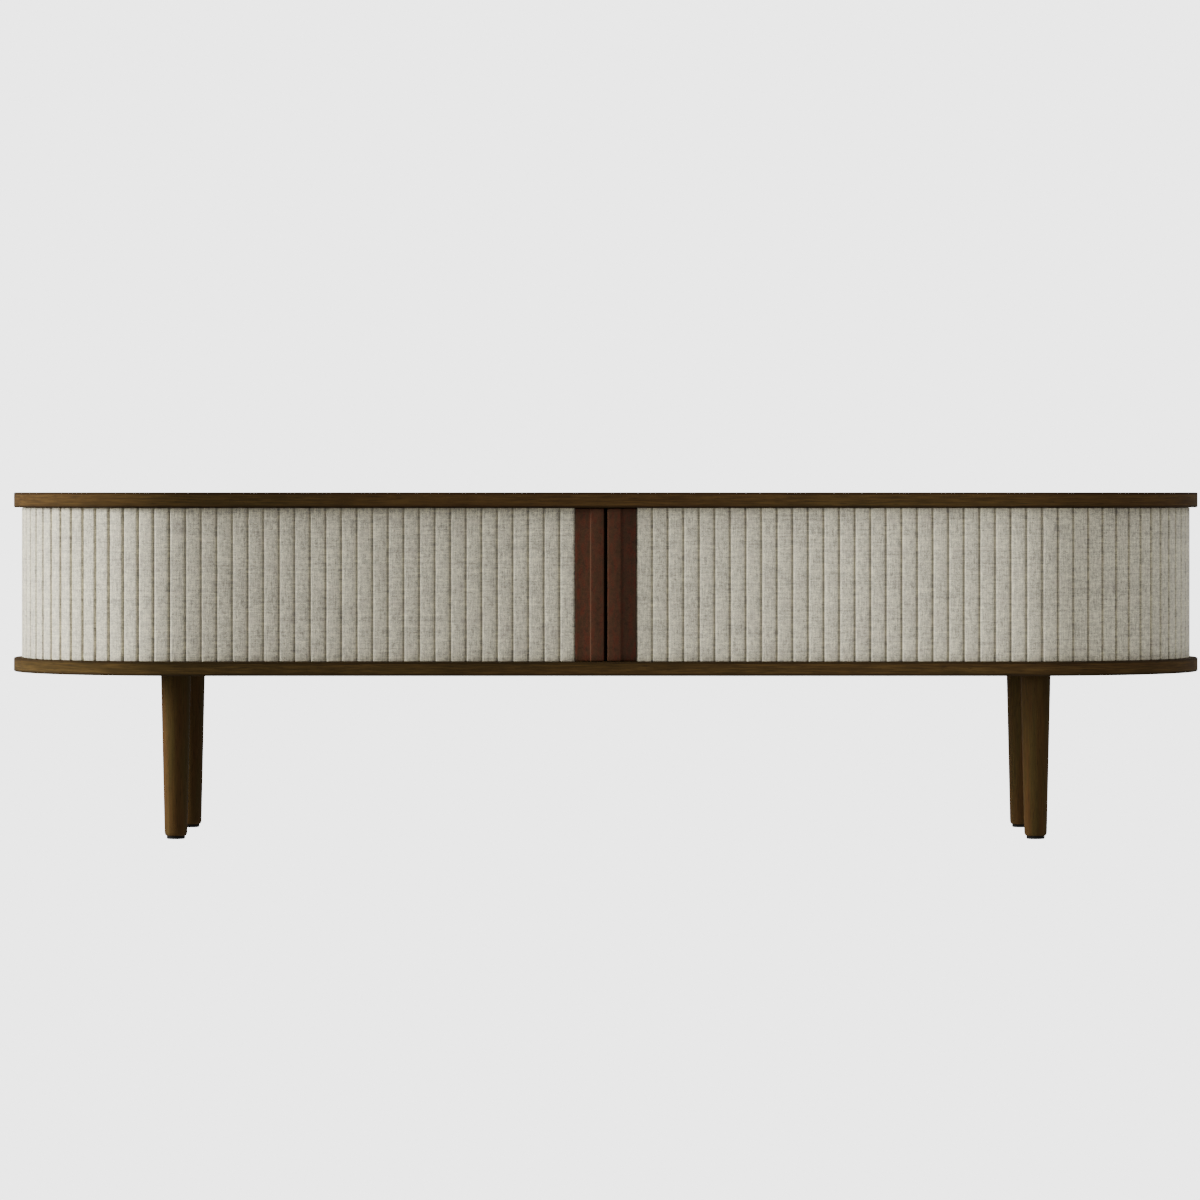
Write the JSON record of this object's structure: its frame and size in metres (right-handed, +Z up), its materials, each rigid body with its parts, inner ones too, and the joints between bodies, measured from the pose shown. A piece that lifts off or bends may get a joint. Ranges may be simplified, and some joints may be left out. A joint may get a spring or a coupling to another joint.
{
  "type": "media cabinet",
  "caption": "Low stadium-shaped media cabinet on turned legs, with two fabric tambour doors that slide round its rounded ends.",
  "frame": {"origin": "on the floor under the middle of the cabinet", "axes": "+X to the right along the length, +Y to the back, +Z up; the doors face -Y"},
  "size_m": [1.5, 0.464, 0.432],
  "materials": {
    "dark_oak": "dark-stained oak veneer and solid oak, satin lacquer",
    "door_fabric": "beige-grey melange plain weave over slats, on a cloth backing",
    "leather": "dark brown finished leather",
    "black_plastic": "black moulded plastic glide",
    "dark_steel": "zinc-plated steel fittings"
  },
  "bodies": {
    "root": {"top_board": "dark_oak", "bottom_board": "dark_oak", "back_panel": "dark_oak", "left_side_panel": "dark_oak", "right_side_panel": "dark_oak", "centre_partition": "dark_oak", "left_shelf": "dark_oak", "right_shelf": "dark_oak", "rear_post": "dark_oak", "front_left_leg": "dark_oak", "front_left_glide": "black_plastic", "front_right_leg": "dark_oak", "front_right_glide": "black_plastic", "rear_left_leg": "dark_oak", "rear_left_glide": "black_plastic", "rear_right_leg": "dark_oak", "rear_right_glide": "black_plastic"},
    "left_door_lead": {"left_door_leading_slats": "door_fabric", "left_door_leather_pull": "leather"},
    "left_door_front_1": {"left_door_front_slats_1": "door_fabric"},
    "left_door_front_2": {"left_door_front_slats_2": "door_fabric"},
    "left_door_front_3": {"left_door_front_slats_3": "door_fabric"},
    "left_door_front_4": {"left_door_front_slats_4": "door_fabric"},
    "left_door_front_5": {"left_door_front_slats_5": "door_fabric"},
    "left_door_front_6": {"left_door_front_slats_6": "door_fabric"},
    "left_door_front_7": {"left_door_front_slats_7": "door_fabric"},
    "left_door_front_8": {"left_door_front_slats_8": "door_fabric"},
    "left_door_front_9": {"left_door_front_slats_9": "door_fabric"},
    "left_door_front_10": {"left_door_front_slats_10": "door_fabric"},
    "left_door_end": {"left_door_end_slats": "door_fabric"},
    "left_door_rear_1": {"left_door_rear_slats_1": "door_fabric"},
    "left_door_rear_2": {"left_door_rear_slats_2": "door_fabric"},
    "left_door_rear_3": {"left_door_rear_slats_3": "door_fabric"},
    "left_door_rear_4": {"left_door_rear_slats_4": "door_fabric"},
    "left_door_rear_5": {"left_door_rear_slats_5": "door_fabric"},
    "left_door_rear_6": {"left_door_rear_slats_6": "door_fabric"},
    "left_door_rear_7": {"left_door_rear_slats_7": "door_fabric"},
    "left_door_trail": {"left_door_trailing_slats": "door_fabric"},
    "right_door_lead": {"right_door_leading_slats": "door_fabric", "right_door_leather_pull": "leather"},
    "right_door_front_1": {"right_door_front_slats_1": "door_fabric"},
    "right_door_front_2": {"right_door_front_slats_2": "door_fabric"},
    "right_door_front_3": {"right_door_front_slats_3": "door_fabric"},
    "right_door_front_4": {"right_door_front_slats_4": "door_fabric"},
    "right_door_front_5": {"right_door_front_slats_5": "door_fabric"},
    "right_door_front_6": {"right_door_front_slats_6": "door_fabric"},
    "right_door_front_7": {"right_door_front_slats_7": "door_fabric"},
    "right_door_front_8": {"right_door_front_slats_8": "door_fabric"},
    "right_door_front_9": {"right_door_front_slats_9": "door_fabric"},
    "right_door_front_10": {"right_door_front_slats_10": "door_fabric"},
    "right_door_end": {"right_door_end_slats": "door_fabric"},
    "right_door_rear_1": {"right_door_rear_slats_1": "door_fabric"},
    "right_door_rear_2": {"right_door_rear_slats_2": "door_fabric"},
    "right_door_rear_3": {"right_door_rear_slats_3": "door_fabric"},
    "right_door_rear_4": {"right_door_rear_slats_4": "door_fabric"},
    "right_door_rear_5": {"right_door_rear_slats_5": "door_fabric"},
    "right_door_rear_6": {"right_door_rear_slats_6": "door_fabric"},
    "right_door_rear_7": {"right_door_rear_slats_7": "door_fabric"},
    "right_door_trail": {"right_door_trailing_slats": "door_fabric"}
  },
  "joints": [
    {"name": "left_door_slide", "type": "slide", "parent": "root", "child": "left_door_lead", "axis": [-1, 0, 0], "range_m": [0, 0.384]},
    {"name": "left_door_front_1_turn", "type": "hinge", "parent": "root", "child": "left_door_front_1", "pos_m": [-0.3356, 4.06145, 0.3195], "axis": [0, 0, -1], "range_deg": [0, 5.16]},
    {"name": "left_door_front_2_turn", "type": "hinge", "parent": "root", "child": "left_door_front_2", "pos_m": [-0.3548, 1.20479, 0.3195], "axis": [0, 0, -1], "range_deg": [0, 15.45]},
    {"name": "left_door_front_3_turn", "type": "hinge", "parent": "root", "child": "left_door_front_3", "pos_m": [-0.374, 0.63091, 0.3195], "axis": [0, 0, -1], "range_deg": [0, 25.73]},
    {"name": "left_door_front_4_turn", "type": "hinge", "parent": "root", "child": "left_door_front_4", "pos_m": [-0.3932, 0.3841, 0.3195], "axis": [0, 0, -1], "range_deg": [0, 36.02]},
    {"name": "left_door_front_5_turn", "type": "hinge", "parent": "root", "child": "left_door_front_5", "pos_m": [-0.4124, 0.24706, 0.3195], "axis": [0, 0, -1], "range_deg": [0, 46.31]},
    {"name": "left_door_front_6_turn", "type": "hinge", "parent": "root", "child": "left_door_front_6", "pos_m": [-0.4316, 0.16056, 0.3195], "axis": [0, 0, -1], "range_deg": [0, 56.59]},
    {"name": "left_door_front_7_turn", "type": "hinge", "parent": "root", "child": "left_door_front_7", "pos_m": [-0.4508, 0.1018, 0.3195], "axis": [0, 0, -1], "range_deg": [0, 66.88]},
    {"name": "left_door_front_8_turn", "type": "hinge", "parent": "root", "child": "left_door_front_8", "pos_m": [-0.47, 0.06019, 0.3195], "axis": [0, 0, -1], "range_deg": [0, 77.16]},
    {"name": "left_door_front_9_turn", "type": "hinge", "parent": "root", "child": "left_door_front_9", "pos_m": [-0.4892, 0.03012, 0.3195], "axis": [0, 0, -1], "range_deg": [0, 87.45]},
    {"name": "left_door_front_10_turn", "type": "hinge", "parent": "root", "child": "left_door_front_10", "pos_m": [-0.5084, 0.00839, 0.3195], "axis": [0, 0, -1], "range_deg": [0, 97.73]},
    {"name": "left_door_end_turn", "type": "hinge", "parent": "root", "child": "left_door_end", "pos_m": [-0.518, 0, 0.3195], "axis": [0, 0, -1], "range_deg": [0, 102.88]},
    {"name": "left_door_rear_1_turn", "type": "hinge", "parent": "root", "child": "left_door_rear_1", "pos_m": [-0.5036, -0.01316, 0.3195], "axis": [0, 0, -1], "range_deg": [0, 95.16]},
    {"name": "left_door_rear_2_turn", "type": "hinge", "parent": "root", "child": "left_door_rear_2", "pos_m": [-0.4748, -0.05174, 0.3195], "axis": [0, 0, -1], "range_deg": [0, 79.73]},
    {"name": "left_door_rear_3_turn", "type": "hinge", "parent": "root", "child": "left_door_rear_3", "pos_m": [-0.446, -0.11459, 0.3195], "axis": [0, 0, -1], "range_deg": [0, 64.31]},
    {"name": "left_door_rear_4_turn", "type": "hinge", "parent": "root", "child": "left_door_rear_4", "pos_m": [-0.4172, -0.22192, 0.3195], "axis": [0, 0, -1], "range_deg": [0, 48.88]},
    {"name": "left_door_rear_5_turn", "type": "hinge", "parent": "root", "child": "left_door_rear_5", "pos_m": [-0.3884, -0.43159, 0.3195], "axis": [0, 0, -1], "range_deg": [0, 33.45]},
    {"name": "left_door_rear_6_turn", "type": "hinge", "parent": "root", "child": "left_door_rear_6", "pos_m": [-0.3596, -1.0001, 0.3195], "axis": [0, 0, -1], "range_deg": [0, 18.02]},
    {"name": "left_door_rear_7_turn", "type": "hinge", "parent": "root", "child": "left_door_rear_7", "pos_m": [-0.3356, -4.06145, 0.3195], "axis": [0, 0, -1], "range_deg": [0, 5.16]},
    {"name": "left_door_trail_slide", "type": "slide", "parent": "root", "child": "left_door_trail", "axis": [1, 0, 0], "range_m": [0, 0.3842]},
    {"name": "right_door_slide", "type": "slide", "parent": "root", "child": "right_door_lead", "axis": [1, 0, 0], "range_m": [0, 0.384]},
    {"name": "right_door_front_1_turn", "type": "hinge", "parent": "root", "child": "right_door_front_1", "pos_m": [0.3356, 4.06145, 0.3195], "axis": [0, 0, 1], "range_deg": [0, 5.16]},
    {"name": "right_door_front_2_turn", "type": "hinge", "parent": "root", "child": "right_door_front_2", "pos_m": [0.3548, 1.20479, 0.3195], "axis": [0, 0, 1], "range_deg": [0, 15.45]},
    {"name": "right_door_front_3_turn", "type": "hinge", "parent": "root", "child": "right_door_front_3", "pos_m": [0.374, 0.63091, 0.3195], "axis": [0, 0, 1], "range_deg": [0, 25.73]},
    {"name": "right_door_front_4_turn", "type": "hinge", "parent": "root", "child": "right_door_front_4", "pos_m": [0.3932, 0.3841, 0.3195], "axis": [0, 0, 1], "range_deg": [0, 36.02]},
    {"name": "right_door_front_5_turn", "type": "hinge", "parent": "root", "child": "right_door_front_5", "pos_m": [0.4124, 0.24706, 0.3195], "axis": [0, 0, 1], "range_deg": [0, 46.31]},
    {"name": "right_door_front_6_turn", "type": "hinge", "parent": "root", "child": "right_door_front_6", "pos_m": [0.4316, 0.16056, 0.3195], "axis": [0, 0, 1], "range_deg": [0, 56.59]},
    {"name": "right_door_front_7_turn", "type": "hinge", "parent": "root", "child": "right_door_front_7", "pos_m": [0.4508, 0.1018, 0.3195], "axis": [0, 0, 1], "range_deg": [0, 66.88]},
    {"name": "right_door_front_8_turn", "type": "hinge", "parent": "root", "child": "right_door_front_8", "pos_m": [0.47, 0.06019, 0.3195], "axis": [0, 0, 1], "range_deg": [0, 77.16]},
    {"name": "right_door_front_9_turn", "type": "hinge", "parent": "root", "child": "right_door_front_9", "pos_m": [0.4892, 0.03012, 0.3195], "axis": [0, 0, 1], "range_deg": [0, 87.45]},
    {"name": "right_door_front_10_turn", "type": "hinge", "parent": "root", "child": "right_door_front_10", "pos_m": [0.5084, 0.00839, 0.3195], "axis": [0, 0, 1], "range_deg": [0, 97.73]},
    {"name": "right_door_end_turn", "type": "hinge", "parent": "root", "child": "right_door_end", "pos_m": [0.518, 0, 0.3195], "axis": [0, 0, 1], "range_deg": [0, 102.88]},
    {"name": "right_door_rear_1_turn", "type": "hinge", "parent": "root", "child": "right_door_rear_1", "pos_m": [0.5036, -0.01316, 0.3195], "axis": [0, 0, 1], "range_deg": [0, 95.16]},
    {"name": "right_door_rear_2_turn", "type": "hinge", "parent": "root", "child": "right_door_rear_2", "pos_m": [0.4748, -0.05174, 0.3195], "axis": [0, 0, 1], "range_deg": [0, 79.73]},
    {"name": "right_door_rear_3_turn", "type": "hinge", "parent": "root", "child": "right_door_rear_3", "pos_m": [0.446, -0.11459, 0.3195], "axis": [0, 0, 1], "range_deg": [0, 64.31]},
    {"name": "right_door_rear_4_turn", "type": "hinge", "parent": "root", "child": "right_door_rear_4", "pos_m": [0.4172, -0.22192, 0.3195], "axis": [0, 0, 1], "range_deg": [0, 48.88]},
    {"name": "right_door_rear_5_turn", "type": "hinge", "parent": "root", "child": "right_door_rear_5", "pos_m": [0.3884, -0.43159, 0.3195], "axis": [0, 0, 1], "range_deg": [0, 33.45]},
    {"name": "right_door_rear_6_turn", "type": "hinge", "parent": "root", "child": "right_door_rear_6", "pos_m": [0.3596, -1.0001, 0.3195], "axis": [0, 0, 1], "range_deg": [0, 18.02]},
    {"name": "right_door_rear_7_turn", "type": "hinge", "parent": "root", "child": "right_door_rear_7", "pos_m": [0.3356, -4.06145, 0.3195], "axis": [0, 0, 1], "range_deg": [0, 5.16]},
    {"name": "right_door_trail_slide", "type": "slide", "parent": "root", "child": "right_door_trail", "axis": [-1, 0, 0], "range_m": [0, 0.3842]}
  ],
  "couplings": [
    {"joint": "left_door_front_1_turn", "follows": "left_door_slide", "rad_per_m": 0.23375},
    {"joint": "left_door_front_2_turn", "follows": "left_door_slide", "rad_per_m": 0.70125},
    {"joint": "left_door_front_3_turn", "follows": "left_door_slide", "rad_per_m": 1.1687},
    {"joint": "left_door_front_4_turn", "follows": "left_door_slide", "rad_per_m": 1.6362},
    {"joint": "left_door_front_5_turn", "follows": "left_door_slide", "rad_per_m": 2.1037},
    {"joint": "left_door_front_6_turn", "follows": "left_door_slide", "rad_per_m": 2.5712},
    {"joint": "left_door_front_7_turn", "follows": "left_door_slide", "rad_per_m": 3.0387},
    {"joint": "left_door_front_8_turn", "follows": "left_door_slide", "rad_per_m": 3.5062},
    {"joint": "left_door_front_9_turn", "follows": "left_door_slide", "rad_per_m": 3.9737},
    {"joint": "left_door_front_10_turn", "follows": "left_door_slide", "rad_per_m": 4.4412},
    {"joint": "left_door_end_turn", "follows": "left_door_slide", "rad_per_m": 4.675},
    {"joint": "left_door_rear_1_turn", "follows": "left_door_slide", "rad_per_m": 4.3244},
    {"joint": "left_door_rear_2_turn", "follows": "left_door_slide", "rad_per_m": 3.6231},
    {"joint": "left_door_rear_3_turn", "follows": "left_door_slide", "rad_per_m": 2.9219},
    {"joint": "left_door_rear_4_turn", "follows": "left_door_slide", "rad_per_m": 2.2206},
    {"joint": "left_door_rear_5_turn", "follows": "left_door_slide", "rad_per_m": 1.5194},
    {"joint": "left_door_rear_6_turn", "follows": "left_door_slide", "rad_per_m": 0.81812},
    {"joint": "left_door_rear_7_turn", "follows": "left_door_slide", "rad_per_m": 0.23375},
    {"joint": "left_door_trail_slide", "follows": "left_door_slide", "ratio": 1},
    {"joint": "right_door_front_1_turn", "follows": "right_door_slide", "rad_per_m": 0.23375},
    {"joint": "right_door_front_2_turn", "follows": "right_door_slide", "rad_per_m": 0.70125},
    {"joint": "right_door_front_3_turn", "follows": "right_door_slide", "rad_per_m": 1.1687},
    {"joint": "right_door_front_4_turn", "follows": "right_door_slide", "rad_per_m": 1.6362},
    {"joint": "right_door_front_5_turn", "follows": "right_door_slide", "rad_per_m": 2.1037},
    {"joint": "right_door_front_6_turn", "follows": "right_door_slide", "rad_per_m": 2.5712},
    {"joint": "right_door_front_7_turn", "follows": "right_door_slide", "rad_per_m": 3.0387},
    {"joint": "right_door_front_8_turn", "follows": "right_door_slide", "rad_per_m": 3.5062},
    {"joint": "right_door_front_9_turn", "follows": "right_door_slide", "rad_per_m": 3.9737},
    {"joint": "right_door_front_10_turn", "follows": "right_door_slide", "rad_per_m": 4.4412},
    {"joint": "right_door_end_turn", "follows": "right_door_slide", "rad_per_m": 4.675},
    {"joint": "right_door_rear_1_turn", "follows": "right_door_slide", "rad_per_m": 4.3244},
    {"joint": "right_door_rear_2_turn", "follows": "right_door_slide", "rad_per_m": 3.6231},
    {"joint": "right_door_rear_3_turn", "follows": "right_door_slide", "rad_per_m": 2.9219},
    {"joint": "right_door_rear_4_turn", "follows": "right_door_slide", "rad_per_m": 2.2206},
    {"joint": "right_door_rear_5_turn", "follows": "right_door_slide", "rad_per_m": 1.5194},
    {"joint": "right_door_rear_6_turn", "follows": "right_door_slide", "rad_per_m": 0.81812},
    {"joint": "right_door_rear_7_turn", "follows": "right_door_slide", "rad_per_m": 0.23375},
    {"joint": "right_door_trail_slide", "follows": "right_door_slide", "ratio": 1}
  ]
}
